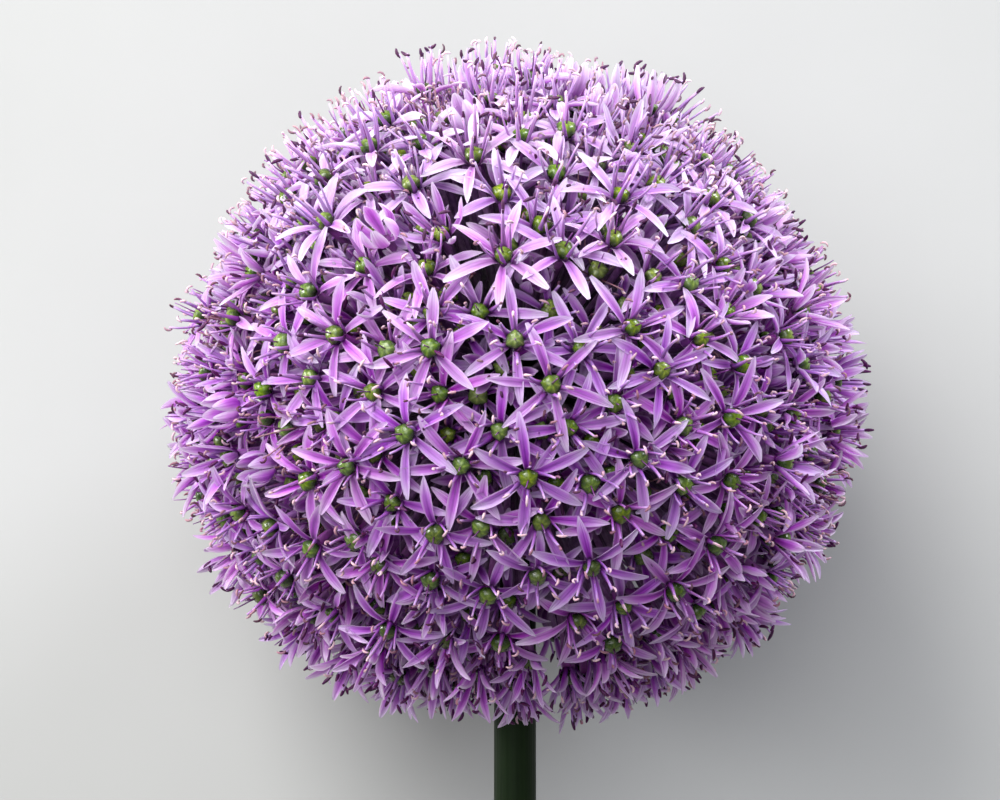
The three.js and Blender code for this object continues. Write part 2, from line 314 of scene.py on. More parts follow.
def onFloor(point):  # from the upright flower to the row's frame, lying on the floor
    laid = head["centre"] + lieDown @ point
    if laid.z < pressed["below"] and laid.y > 0:
        share = max(0, (laid.z + pressed["sunk"]) / (pressed["below"] + pressed["sunk"]))
        laid.z = pressed["below"] * share ** ((pressed["below"] + pressed["sunk"]) / pressed["below"])
    return laid


# Camera, floor and light. Directions are from the middle of the head.
camera = {"sensor": 36, "clipStart": 10 * mm}
lights = {
    "key": {"from": (-0.42, 0.6, 0.68), "distance": 1.5, "size": 0.84,
            "power": 25, "colour": (1, 0.985, 0.98)},
    "front": {"from": (-0.2, 0.08, 0.97), "distance": 1.8, "size": 1.4,
              "power": 22, "colour": (0.96, 0.97, 1)},
    "right": {"from": (0.84, 0.9, 0.3), "distance": 1.1, "size": 0.4,
              "power": 14.5, "colour": (0.88, 0.9, 1)},
    "left": {"from": (-0.95, 0.25, 0.18), "distance": 1.1, "size": 0.3,
             "power": 10, "colour": (1, 1, 1)},
    "world": {"colour": (0.94, 0.94, 1, 1), "power": 0.3},
}


def makeCamera():
    data = bpy.data.cameras.new("camera")
    data.sensor_width = camera["sensor"]
    data.lens = camera["sensor"] * view["pixelsPerMm"] * (view["distance"] / mm) / view["width"]
    data.shift_x = (view["width"] / 2 - view["centreX"]) / view["width"]
    data.shift_y = (view["centreY"] - view["height"] / 2) / view["width"]
    data.clip_start = camera["clipStart"]
    data.dof.use_dof = False
    towards = lieDown @ Vector((0, -math.cos(view["lift"]), math.sin(view["lift"])))
    up = lieDown @ Vector((0, math.sin(view["lift"]), math.cos(view["lift"])))
    turned = Matrix((up.cross(towards), up, towards)).transposed()
    piece = bpy.data.objects.new("camera", data)
    piece.matrix_world = Matrix.Translation(head["centre"] + towards * view["distance"]) @ turned.to_4x4()
    bpy.context.collection.objects.link(piece)
    bpy.context.scene.camera = piece


def makeLight(name, light):
    data = bpy.data.lights.new(name + "Light", "AREA")
    data.shape = "DISK"
    data.size = light["size"]
    data.energy = light["power"]
    data.color = light["colour"]
    piece = bpy.data.objects.new(name + "Light", data)
    towards = Vector(light["from"]).normalized()
    piece.location = head["centre"] + towards * light["distance"]
    piece.rotation_euler = towards.to_track_quat("Z", "Y").to_euler()
    bpy.context.collection.objects.link(piece)


def makeWorld(light):
    world = bpy.data.worlds.new("studio")
    world.use_nodes = True
    background = world.node_tree.nodes["Background"]
    background.inputs["Color"].default_value = light["colour"]
    background.inputs["Strength"].default_value = light["power"]
    bpy.context.scene.world = world


makeCamera()
for name in ("key", "front", "right", "left"):
    makeLight(name, lights[name])
makeWorld(lights["world"])
bpy.context.scene.view_settings.view_transform = "Standard"
print("camera and lights ready")


# Nodes of materials
def connect(tree, value, socket):
    if isinstance(value, bpy.types.NodeSocket):
        tree.links.new(value, socket)
    else:
        socket.default_value = value


def addNode(tree, kind, inputs=None, **settings):
    node = tree.nodes.new(kind)
    for name, value in settings.items():
        setattr(node, name, value)
    for name, value in (inputs or {}).items():
        connect(tree, value, node.inputs[name])
    return node


def ramp(tree, factor, stops):
    node = addNode(tree, "ShaderNodeValToRGB", {"Fac": factor})
    while len(node.color_ramp.elements) < len(stops):
        node.color_ramp.elements.new(0.5)
    for element, (position, colour) in zip(node.color_ramp.elements, stops):
        element.position = position
        element.color = colour
    return node.outputs["Color"]


def mix(tree, factor, first, second, blend="MIX"):
    node = addNode(tree, "ShaderNodeMix", data_type="RGBA", blend_type=blend)
    sockets = [socket for socket in node.inputs if socket.enabled]
    for socket, value in zip(sockets, (factor, first, second)):
        connect(tree, value, socket)
    return [socket for socket in node.outputs if socket.enabled][0]


def calculate(tree, operation, first, second=0.0):
    return addNode(tree, "ShaderNodeMath", {0: first, 1: second}, operation=operation).outputs[0]


def fit(tree, value, fromLow, fromHigh, toLow, toHigh):
    inputs = {"Value": value, "From Min": fromLow, "From Max": fromHigh, "To Min": toLow, "To Max": toHigh}
    return addNode(tree, "ShaderNodeMapRange", inputs).outputs[0]


def srgb(red, green, blue):  # a colour as a screen shows it, 0 to 255
    linear = [((v / 255 + 0.055) / 1.055) ** 2.4 if v > 10 else v / 255 / 12.92 for v in (red, green, blue)]
    return (*linear, 1)


def newGroup(name, inputs, outputs):
    group = bpy.data.node_groups.new(name, "ShaderNodeTree")
    for label, kind in inputs:
        group.interface.new_socket(label, in_out="INPUT", socket_type=kind)
    for label, kind in outputs:
        group.interface.new_socket(label, in_out="OUTPUT", socket_type=kind)
    return group, group.nodes.new("NodeGroupInput").outputs, group.nodes.new("NodeGroupOutput").inputs


def makeStreaks():  # fine lines that run one way, as in petals and stems
    inputs = [("Place", "NodeSocketVector"), ("Scale", "NodeSocketVector")]
    group, given, out = newGroup("streaks", inputs, [("Lines", "NodeSocketFloat")])
    inputs = {0: given["Place"], 1: given["Scale"]}
    drawn = addNode(group, "ShaderNodeVectorMath", inputs, operation="MULTIPLY")
    noise = addNode(group, "ShaderNodeTexNoise", {"Vector": drawn.outputs[0], "Scale": 1, "Detail": 3})
    connect(group, fit(group, noise.outputs[0], 0.3, 0.7, 0, 1), out["Lines"])
    return group


def makeTinted():  # each floret lighter, darker, redder or bluer than the next, plus painted light and shade
    inputs = [("Color", "NodeSocketColor"), ("Tint", "NodeSocketColor"), ("Amount", "NodeSocketFloat")]
    group, given, out = newGroup("tinted", inputs, [("Color", "NodeSocketColor")])
    parts = addNode(group, "ShaderNodeSeparateColor", {"Color": given["Tint"]}).outputs
    shifts = []
    for socket, share, middle in zip(parts, (0.08, 0.6, 1), (0.5, 1, 1)):
        offset = calculate(group, "MULTIPLY", calculate(group, "SUBTRACT", socket, 0.5), given["Amount"])
        shifts.append(calculate(group, "MULTIPLY_ADD", offset, share))
        shifts[-1].node.inputs[2].default_value = middle
    inputs = {"Hue": shifts[0], "Saturation": shifts[1], "Value": shifts[2], "Color": given["Color"]}
    connect(group, addNode(group, "ShaderNodeHueSaturation", inputs).outputs[0], out["Color"])
    return group


streaks = makeStreaks()
tinted = makeTinted()


def newSkin(name):
    material = bpy.data.materials.new(name)
    material.use_nodes = True
    tree = material.node_tree
    return material, tree, tree.nodes["Principled BSDF"]


def readAttribute(tree, name):
    return addNode(tree, "ShaderNodeAttribute", attribute_name=name).outputs["Color"]


def readParts(tree, name):  # the red, green and blue of an attribute
    return addNode(tree, "ShaderNodeSeparateColor", {"Color": readAttribute(tree, name)}).outputs


def tint(tree, colour, amount):
    inputs = {"Color": colour, "Tint": readAttribute(tree, "tint"), "Amount": amount}
    return addNode(tree, "ShaderNodeGroup", inputs, node_tree=tinted).outputs[0]


def grain(tree, scale, detail=3):
    place = addNode(tree, "ShaderNodeTexCoord").outputs["Object"]
    return addNode(tree, "ShaderNodeTexNoise", {"Vector": place, "Scale": scale, "Detail": detail}).outputs[0]


def drawLines(tree, place, scale):
    return addNode(tree, "ShaderNodeGroup", {"Place": place, "Scale": scale}, node_tree=streaks).outputs[0]


def dress(tree, shader, skin, colour, pattern):  # one pattern gives both the roughness and the relief
    connect(tree, colour, shader.inputs["Base Color"])
    connect(tree, fit(tree, pattern, *skin["roughness"]), shader.inputs["Roughness"])
    strength, depth = skin["relief"]
    relief = addNode(tree, "ShaderNodeBump", {"Height": pattern, "Strength": strength, "Distance": depth})
    connect(tree, relief.outputs[0], shader.inputs["Normal"])
    for name, value in skin.get("sockets", {}).items():
        shader.inputs[name].default_value = value


# Roughness: the range of the pattern, and the roughness at both its ends. Relief: strength and depth.
petalSkin = {
    "along": [(0.0, srgb(96, 18, 108)), (0.14, srgb(140, 54, 156)), (0.38, srgb(174, 92, 194)),
              (0.66, srgb(198, 132, 218)), (1.0, srgb(230, 208, 240))],
    "vein": srgb(132, 58, 152),
    "rib": srgb(108, 38, 128),
    "edge": srgb(226, 188, 238),
    "veinShare": 0.6,
    "ribAcross": (0, 0.17, 0.6, 0),  # from the middle line: how far it reaches, and its share of the colour
    "ribAlong": (0.4, 0.9, 1, 0.1),
    "edgeAcross": (0.26, 0.5, 0, 0.55),
    "streaks": (8, 1.1, 1),
    "shift": (23, 17, 11),  # so that no two florets have the same streaks
    "tint": 0.4,
    "roughness": (0, 1, 0.34, 0.5),
    "relief": (0.4, 0.1 * mm),
    "sockets": {
        "Subsurface Weight": 0.45,
        "Subsurface Radius": (1, 0.55, 1),
        "Subsurface Scale": 1.4 * mm,
        "Specular IOR Level": 0.38,
        "Sheen Weight": 0.14,
        "Sheen Roughness": 0.4,
    },
}


def makePetalSkin():
    material, tree, shader = newSkin("petalSkin")
    uv = addNode(tree, "ShaderNodeUVMap", uv_map="organ").outputs[0]
    across, along = addNode(tree, "ShaderNodeSeparateXYZ", {"Vector": uv}).outputs[:2]
    side = calculate(tree, "ABSOLUTE", calculate(tree, "SUBTRACT", across, 0.5))
    shifts = {0: readAttribute(tree, "tint"), 1: petalSkin["shift"], 2: uv}
    shifted = addNode(tree, "ShaderNodeVectorMath", shifts, operation="MULTIPLY_ADD").outputs[0]
    lines = drawLines(tree, shifted, petalSkin["streaks"])
    body = ramp(tree, along, petalSkin["along"])
    veins = calculate(tree, "MULTIPLY", lines, petalSkin["veinShare"])
    veined = mix(tree, veins, body, petalSkin["vein"])
    ribAcross = fit(tree, side, *petalSkin["ribAcross"])
    rib = calculate(tree, "MULTIPLY", ribAcross, fit(tree, along, *petalSkin["ribAlong"]))
    ribbed = mix(tree, rib, veined, petalSkin["rib"])
    edged = mix(tree, fit(tree, side, *petalSkin["edgeAcross"]), ribbed, petalSkin["edge"])
    dress(tree, shader, petalSkin, tint(tree, edged, petalSkin["tint"]), lines)
    return material


stamenSkin = {
    "filament": [(0.0, srgb(100, 32, 112)), (0.25, srgb(132, 66, 152)), (0.7, srgb(164, 112, 184)),
                 (1.0, srgb(192, 156, 206))],
    "withered": srgb(140, 100, 112),
    "spent": [(0.3, srgb(208, 176, 186)), (0.6, srgb(160, 116, 130)), (0.9, srgb(84, 46, 70))],
    "fresh": (srgb(92, 14, 84), srgb(44, 5, 48)),
    "grain": 2500,
    "tint": 0.3,
    "roughness": (0.3, 0.7, 0.34, 0.6),
    "relief": (0.5, 0.08 * mm),
    "sockets": {"Subsurface Weight": 0.15, "Subsurface Scale": 0.6 * mm, "Specular IOR Level": 0.3},
}


def makeStamenSkin():
    material, tree, shader = newSkin("stamenSkin")
    along, fresh, variety = readParts(tree, "spot")[:3]
    mottle = grain(tree, stamenSkin["grain"])
    filament = mix(tree, variety, ramp(tree, along, stamenSkin["filament"]), stamenSkin["withered"])
    spent = ramp(tree, variety, stamenSkin["spent"])
    freshAnther = mix(tree, mottle, *stamenSkin["fresh"])
    anther = mix(tree, fresh, spent, freshAnther)
    isAnther = addNode(tree, "ShaderNodeAttribute", attribute_name="anther").outputs["Fac"]
    colour = tint(tree, mix(tree, isAnther, filament, anther), stamenSkin["tint"])
    dress(tree, shader, stamenSkin, colour, mottle)
    return material


ovarySkin = {
    # ball: from near black below to light green on top, painted shade and light over its own green
    "ball": [(0.0, srgb(22, 32, 16)), (0.4, srgb(52, 72, 24)), (0.75, srgb(98, 122, 36)),
             (1.0, srgb(166, 182, 76))],
    "dark": srgb(42, 66, 26),
    "style": (srgb(92, 32, 96), srgb(140, 84, 152)),
    "warts": 1600,
    "darkAmong": (0.35, 0.75, 0, 0.6),
    "tint": 0.4,
    "roughness": (0.3, 0.7, 0.14, 0.36),
    "relief": (0.7, 0.16 * mm),
}


def makeOvarySkin():
    material, tree, shader = newSkin("ovarySkin")
    height, isStyle, along = readParts(tree, "spot")[:3]
    warts = grain(tree, ovarySkin["warts"])
    darkness = fit(tree, warts, *ovarySkin["darkAmong"])
    # the ramp over height paints shade below and light on top
    ball = mix(tree, darkness, ramp(tree, height, ovarySkin["ball"]), ovarySkin["dark"])
    style = mix(tree, along, *ovarySkin["style"])
    colour = tint(tree, mix(tree, isStyle, ball, style), ovarySkin["tint"])
    dress(tree, shader, ovarySkin, colour, warts)
    return material


stalkSkin = {
    "along": [(0.0, srgb(112, 126, 88)), (0.4, srgb(104, 92, 104)), (0.8, srgb(164, 122, 174)),
              (1.0, srgb(134, 54, 146))],
    "shade": srgb(104, 66, 108),
    "shadeAmong": (0.3, 0.7, 0, 0.7),
    "grain": 900,
    "tint": 0.5,
    "roughness": (0.3, 0.7, 0.34, 0.55),
    "relief": (0.3, 0.1 * mm),
    "sockets": {"Specular IOR Level": 0.3},
}


def makeStalkSkin():
    material, tree, shader = newSkin("stalkSkin")
    mottle = grain(tree, stalkSkin["grain"])
    body = ramp(tree, readParts(tree, "spot")[0], stalkSkin["along"])
    mottled = mix(tree, fit(tree, mottle, *stalkSkin["shadeAmong"]), body, stalkSkin["shade"])
    dress(tree, shader, stalkSkin, tint(tree, mottled, stalkSkin["tint"]), mottle)
    return material


stemSkin = {
    # body: the stem's own dark green, darkened further as painted shade
    "body": [(0.3, srgb(9, 20, 6)), (0.7, srgb(18, 34, 11))],
    "line": srgb(30, 48, 20),
    "pith": [(0.1, srgb(120, 140, 84)), (0.5, srgb(196, 206, 160))],
    "grain": 60,
    "lineShare": 0.35,
    "pithDots": 1600,
    "streaks": (1900, 26, 1900),
    "roughness": (0, 1, 0.42, 0.6),
    "relief": (0.25, 0.15 * mm),
    "sockets": {"Specular IOR Level": 0.12},
}


def makeStemSkin():
    material, tree, shader = newSkin("stemSkin")
    place = addNode(tree, "ShaderNodeTexCoord").outputs["Object"]
    turned = addNode(tree, "ShaderNodeMapping", {"Vector": place, "Rotation": (-slope, 0, 0)}).outputs[0]
    lines = drawLines(tree, turned, stemSkin["streaks"])
    body = ramp(tree, grain(tree, stemSkin["grain"]), stemSkin["body"])
    lined = mix(tree, calculate(tree, "MULTIPLY", lines, stemSkin["lineShare"]), body, stemSkin["line"])
    inputs = {"Vector": place, "Scale": stemSkin["pithDots"]}
    dots = addNode(tree, "ShaderNodeTexVoronoi", inputs).outputs["Distance"]
    colour = mix(tree, readParts(tree, "tint")[0], lined, ramp(tree, dots, stemSkin["pith"]))
    dress(tree, shader, stemSkin, colour, lines)
    return material


floorSkin = {
    "colours": [(0.3, srgb(162, 163, 160)), (0.7, srgb(168, 169, 166))],
    "grain": (7, 5),
    "roughness": 0.85,
}


def makeFloorSkin():
    material, tree, shader = newSkin("paleFloor")
    colour = ramp(tree, grain(tree, *floorSkin["grain"]), floorSkin["colours"])
    connect(tree, colour, shader.inputs["Base Color"])
    shader.inputs["Roughness"].default_value = floorSkin["roughness"]
    return material


skins = {
    "petals": makePetalSkin(),
    "stamens": makeStamenSkin(),
    "ovaries": makeOvarySkin(),
    "stalks": makeStalkSkin(),
    "stem": makeStemSkin(),
}
print("materials ready")


# Every mesh holds the same attributes: tint is the floret's colour shift, with painted light and shade in it,
# spot says where on its organ a point is, and of the two maps one is for the material and one gives each
# organ a place of its own
def newShape():
    bm = bmesh.new()
    bm.loops.layers.uv.new("organ")
    bm.loops.layers.uv.new("OFBake")
    bm.verts.layers.float_color.new("tint")
    bm.verts.layers.float_color.new("spot")
    bm.verts.layers.float.new("anther")
    return bm


def keepShape(bm, name):
    mesh = bpy.data.meshes.new(name)
    bm.to_mesh(mesh)
    bm.free()
    return mesh


def addPiece(name, bm, slot, node):
    mesh = keepShape(bm, name)
    mesh.shade_smooth()
    mesh.materials.append(skins[slot])
    piece = bpy.data.objects.new(name, mesh)
    bpy.context.collection.objects.link(piece)
    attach(piece, "root")
    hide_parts(node)
    return piece


def paint(bm, verts, shade, spots=None, anther=0):
    tintLayer = bm.verts.layers.float_color["tint"]
    spotLayer = bm.verts.layers.float_color["spot"]
    antherLayer = bm.verts.layers.float["anther"]
    for n, vert in enumerate(verts):
        vert[tintLayer] = (*shade, 1)
        if spots:
            vert[spotLayer] = (*spots[n], 1)
        vert[antherLayer] = anther


cell = {"left": 0.06, "wide": 0.88, "low": 0.03, "high": 0.94}  # what an organ fills of its place on the map


def addCopy(body, shape):  # a copy of a shape, with the next free place on the piece's map
    bm = body["bm"]
    oldVerts, oldFaces = len(bm.verts), len(bm.faces)
    bm.from_mesh(shape)
    bm.verts.ensure_lookup_table()
    bm.faces.ensure_lookup_table()
    organ, bake = bm.loops.layers.uv["organ"], bm.loops.layers.uv["OFBake"]
    row, column = divmod(body["used"], body["cells"])
    body["used"] += 1
    for face in bm.faces[oldFaces:]:
        for loop in face.loops:
            u, v = loop[organ].uv
            u = column + cell["left"] + cell["wide"] * u
            v = row + cell["low"] + cell["high"] * v
            loop[bake].uv = (u / body["cells"], v / body["cells"])
    return bm.verts[oldVerts:]


# A petal lies flat here: its length runs along +Y from 0 to 1, its width across X, its height is in metres
petal = {
    "across": 4,
    "along": 7,
    "length": 11.1 * mm,
    "width": 2.2 * mm,
    "claw": 0.46,  # share of the width where it starts
    "widest": 0.6,
    "curves": (1.5, 0.85),  # how its outline swells from the foot and closes at the tip
    "rowsToTip": 1.25,
    "ripples": (9, 2),  # along and across
    "thickness": 0.32 * mm,
    "taper": 1.2,
    # share of the width at the tip, how far the edges curl up and ripple, how far one stands over the other
    "kinds": [
        {"blunt": 0.3, "cup": 0.6 * mm, "ripple": 0.03 * mm, "skew": 0.1 * mm},
        {"blunt": 0.2, "cup": 0.95 * mm, "ripple": 0.12 * mm, "skew": 0.35 * mm},
        {"blunt": 0.1, "cup": 0.4 * mm, "ripple": 0.17 * mm, "skew": -0.3 * mm},
    ],
    "startRadius": 0.9 * mm,
    "startHeight": (0.1 * mm, 0.26 * mm),  # of the outer and of the inner ring
    "innerSteeper": math.radians(5),
    # how much chance changes it
    "vary": {"length": 0.14, "turn": 0.24, "width": 0.24, "twist": 0.9, "sway": 2 * mm},
    "thick": (1.05, 0.6),
}


def petalOutline(t, blunt):
    if t < petal["widest"]:
        swell = math.sin(math.pi / 2 * t / petal["widest"]) ** petal["curves"][0]
        return petal["claw"] + (1 - petal["claw"]) * swell
    past = (t - petal["widest"]) / (1 - petal["widest"])
    return blunt + (1 - blunt) * max(0, math.cos(math.pi / 2 * past)) ** petal["curves"][1]


def makePetalShape(kind):
    bm = newShape()
    bmesh.ops.create_grid(bm, x_segments=petal["across"], y_segments=petal["along"], size=0.5)
    bmesh.ops.translate(bm, verts=bm.verts, vec=(0, 0.5, 0))
    for edge in bm.edges:
        edge.smooth = not edge.is_boundary
    for vert in bm.verts:
        vert.co.z = 0 if vert.is_boundary else 0.5
        vert.co.y = 1 - max(0, 1 - vert.co.y) ** petal["rowsToTip"]  # closer together towards the tip
    under = bmesh.ops.duplicate(bm, geom=bm.verts[:] + bm.edges[:] + bm.faces[:])["geom"]
    underVerts = [part for part in under if isinstance(part, bmesh.types.BMVert)]
    underFaces = [part for part in under if isinstance(part, bmesh.types.BMFace)]
    bmesh.ops.scale(bm, verts=underVerts, vec=(1, 1, -1))
    bmesh.ops.reverse_faces(bm, faces=underFaces)
    bmesh.ops.remove_doubles(bm, verts=bm.verts, dist=0.001)
    organ = bm.loops.layers.uv["organ"]
    for face in bm.faces:
        for loop in face.loops:
            loop[organ].uv = (loop.vert.co.x + 0.5, loop.vert.co.y)
    along, across = petal["ripples"]
    for vert in bm.verts:
        x, y, side = vert.co
        outline = petalOutline(y, kind["blunt"])
        ripple = kind["ripple"] * math.sin(along * y + across * x) * abs(2 * x)
        curl = kind["cup"] * (2 * x) ** 2 + kind["skew"] * x * y + ripple
        vert.co.x = x * petal["width"] * outline
        vert.co.z = outline * curl + side * petal["thickness"] * (petal["taper"] - y)
    return keepShape(bm, "petalShape")


def foldedMap(bm, height):  # a map that folds a round shape flat, front and back on the same place
    organ = bm.loops.layers.uv["organ"]
    for face in bm.faces:
        for loop in face.loops:
            place = loop.vert.co
            across = math.atan2(place.y, place.x) if height == "z" else math.atan2(place.z, place.x)
            along = place.z * 0.5 + 0.5 if height == "z" else place.y
            loop[organ].uv = (abs(across) / math.pi, along)


def makeStickShape(sides, steps):  # a round stick one unit thick, from 0 to 1 along +Y
    bm = newShape()
    bmesh.ops.create_cone(bm, cap_ends=True, segments=sides, radius1=0.5, radius2=0.5, depth=1)
    upright = [edge for edge in bm.edges if abs(edge.verts[0].co.z - edge.verts[1].co.z) > 0.5]
    bmesh.ops.subdivide_edges(bm, edges=upright, cuts=steps - 1)
    bmesh.ops.rotate(bm, verts=bm.verts, cent=(0, 0, 0), matrix=Matrix.Rotation(-math.pi / 2, 3, "X"))
    bmesh.ops.translate(bm, verts=bm.verts, vec=(0, 0.5, 0))
    foldedMap(bm, "y")
    return keepShape(bm, "stickShape")


# The ovary is a ball with three lobes, each with two humps
ovary = {
    "radius": 1.9 * mm,
    "across": 12,
    "along": 7,
    "flat": 0.94,
    "lobes": 0.09,
    "humps": 0.045,
    "dimple": 0.26,
    "dimpleFrom": 0.5,
    "foot": 0.75 * mm,
    # Painted light and shade over the ovary's own green: lighter on top and on the humps, darker below
    "paint": (0.42, 0.4, 0.18),  # how pale it is in its middle, how much more on top, and on the humps
    "young": 0.85,  # size in a young floret
    "darker": 2,  # painted shade, towards the stem
}


def makeOvaryShape():
    bm = newShape()
    bmesh.ops.create_uvsphere(bm, u_segments=ovary["across"], v_segments=ovary["along"], radius=1)
    foldedMap(bm, "z")
    spot = bm.verts.layers.float_color["spot"]
    # painted light: lighter on top and on the humps, so the foot and grooves look shaded
    middle, paintedLightOnTop, paintedLightOnHumps = ovary["paint"]
    for vert in bm.verts:
        angle = math.atan2(vert.co.y, vert.co.x)
        ring = math.hypot(vert.co.x, vert.co.y)
        humps = math.cos(6 * angle) * ring
        vert[spot] = (min(1, max(0, middle + paintedLightOnTop * vert.co.z + paintedLightOnHumps * humps)), 0, 0, 1)
        bulge = 1 + ring * ovary["lobes"] * math.cos(3 * angle) + ovary["humps"] * humps
        vert.co.x *= bulge
        vert.co.y *= bulge
        vert.co.z = vert.co.z * ovary["flat"] * (1 + 0.5 * ovary["humps"] * humps)
        if vert.co.z > ovary["dimpleFrom"]:
            vert.co.z -= ovary["dimple"] * (1 - ring)
    return keepShape(bm, "ovaryShape")


shapes = {
    "petals": [makePetalShape(kind) for kind in petal["kinds"]],
    "filament": makeStickShape(4, 4),
    "anther": makeStickShape(5, 4),
    "stalk": makeStickShape(6, 7),
    "ovary": makeOvaryShape(),
}

# How far a floret has opened. Petal angles are in degrees over the plane of the floret, at foot, middle and
# tip; lean is how far the stamens lean from its axis, and fresh the share of stamens with full anthers.
stages = {
    "open": {"petals": (28, -2, -6), "width": 1, "wobble": 10, "size": 1,
             "filament": 7 * mm, "lean": 20, "fresh": 0.04},
    "cupped": {"petals": (42, 48, 40), "width": 1, "wobble": 14, "size": 1.03,
               "filament": 6.4 * mm, "lean": 14, "fresh": 0.08},
    "fresh": {"petals": (36, 6, -4), "width": 1, "wobble": 9, "size": 1,
              "filament": 8.4 * mm, "lean": 14, "fresh": 0.22},
    "young": {"petals": (28, 60, 80), "width": 1, "wobble": 10, "size": 0.98,
              "filament": 7.4 * mm, "lean": 18, "fresh": 0.8},
    "bell": {"petals": (58, 50, 38), "width": 0.86, "wobble": 13, "size": 1,
             "filament": 9.4 * mm, "lean": 12, "fresh": 0.6},
    "bud": {"petals": (26, 86, 120), "width": 1.3, "wobble": 3, "size": 0.85,
            "filament": 0, "lean": 4, "fresh": 1},
    "spent": {"petals": None, "width": 1, "wobble": 14, "size": 0.8,
              "filament": 7 * mm, "lean": 30, "fresh": 0},
}
upperFrom = 0.42  # shares of the way from the middle to the crown, where fresh florets begin
lowerFrom = -0.7  # and where they hang as bells
cupped = (0.14, 0.6)  # the limit of the cupped ones in the middle, and how much more at the sides
# How the florets of a place share out over the stages, each with its upper limit
stageShares = {
    "closedAbove": [("bud", 0.4), ("young", 0.75), ("spent", 1)],
    "closedBelow": [("bud", 0.4), ("bell", 0.75), ("spent", 1)],
    "deep": [("young", 0.25), ("spent", 0.4), ("open", 1)],
    "upper": [("fresh", 0.4), ("young", 0.5), ("open", 1)],
}


def stageOf(floret):
    at = floret["at"]
    if floret["stage"]:
        return floret["stage"]
    if floret["closed"]:
        shares = stageShares["closedAbove" if at.z > 0 else "closedBelow"]
    elif at.z < lowerFrom and not floret["handSet"]:
        return "bell"
    elif floret["deep"]:
        shares = stageShares["deep"]
    elif at.z > upperFrom:
        shares = stageShares["upper"]
    elif floret["handSet"]:
        return "open"
    else:
        shares = [("young", 0.08), ("cupped", cupped[0] + cupped[1] * at.x ** 2), ("open", 1)]
    roll = chance(floret["number"], 11)
    return next(stage for stage, limit in shares if roll < limit)


poise = {
    "tilt": 13,  # degrees that a floret may face to one side
    "handSetTilt": 6,
    "toLight": 0.06,
    "budLift": 2.2 * mm,
}


def floretFrame(floret):  # its right, up and outward directions, and the place where its petals start
    n = floret["number"]
    at = floret["at"]
    tilt = math.radians(poise["handSetTilt" if floret["handSet"] else "tilt"])
    axis = at + Vector((spread(n, 12, 0, 2), spread(n, 13, 0, 2), spread(n, 14, 0, 2))) * tilt
    axis = (axis + Vector((0, 0, poise["toLight"]))).normalized()
    side = Vector((1, 0, 0)) if abs(at.z) > 0.95 else Vector((0, 0, 1))
    right = side.cross(axis).normalized()
    up = axis.cross(right).normalized()
    lift = poise["budLift"] if floret["handSet"] and floret["stage"] == "bud" else 0
    return Matrix((right, up, axis)).transposed(), at * (floret["base"] + lift)


def bentLine(steps, length, angles, start):  # places and slopes along a line that bends through three angles
    foot, middle, tip = angles
    out, up = start
    rows = []
    for step in range(steps + 1):
        t = step / steps
        angle = foot * (1 - t) * (1 - 2 * t) + middle * 4 * t * (1 - t) + tip * t * (2 * t - 1)
        rows.append((out, up, angle))
        out += math.cos(angle) * length / steps
        up += math.sin(angle) * length / steps
    return rows


def bendOrgan(verts, rows, frame3, origin, wide, deep, twist=0.0, aside=0.0, sway=0.0):
    steps = len(rows) - 1
    shares = []
    for vert in verts:
        x, y, z = vert.co
        t = min(1, max(0, y))
        row = round(t * steps)
        low = min(int(t * steps), steps - 1)
        share = t * steps - low
        out, up, angle = [a + (b - a) * share for a, b in zip(rows[low], rows[low + 1])]
        c, s = math.cos(twist * t), math.sin(twist * t)
        x, z = x * wide[row] * c - z * deep[row] * s, x * wide[row] * s + z * deep[row] * c
        local = Vector((out - z * math.sin(angle), x + aside + sway * t * t, up + z * math.cos(angle)))
        vert.co = onFloor(origin + frame3 @ local)
        shares.append(t)
    return shares


def turnedBy(frame3, angle):
    return frame3 @ Matrix.Rotation(angle, 3, "Z")


# Painted light and shade: paler and lighter at the crown, deeper at the stem, darker in deep florets
shading = {
    "pale": (1.4, -0.1),  # painted light: how fast it gets paler towards the crown, and where it starts
    "light": (0.25, 0.5, 0.25),  # the least, and what chance adds for the floret and for the petal
    "paintedLightUp": 0.55,
    "paintedPaleUp": 1.3,
    "paintedShadeDown": 0.3,
    "paintedShadeDeep": 0.9,
    "paintedShadeDeepStrength": 0.5,
}


def shadeOf(floret, m):  # hue, strength and lightness, by chance and with painted light and shade
    rise, start = shading["pale"]
    pale = max(-1, min(1, floret["at"].z * rise + start))
    depth = 1 if floret["deep"] else 0
    least, byFloret, byPetal = shading["light"]
    light = least + byFloret * chance(floret["number"], 24) + byPetal * chance(m, 25)
    # painted light: lighter towards the crown; painted shade: darker in deep florets
    light += shading["paintedLightUp"] * pale - shading["paintedShadeDeep"] * depth
    # painted light pales crown florets; painted shade makes stem-side and deep ones stronger in colour
    weaker = shading["paintedPaleUp" if pale > 0 else "paintedShadeDown"] * pale
    strength = chance(m, 23) - weaker + shading["paintedShadeDeepStrength"] * depth
    return chance(floret["number"], 22), strength, light


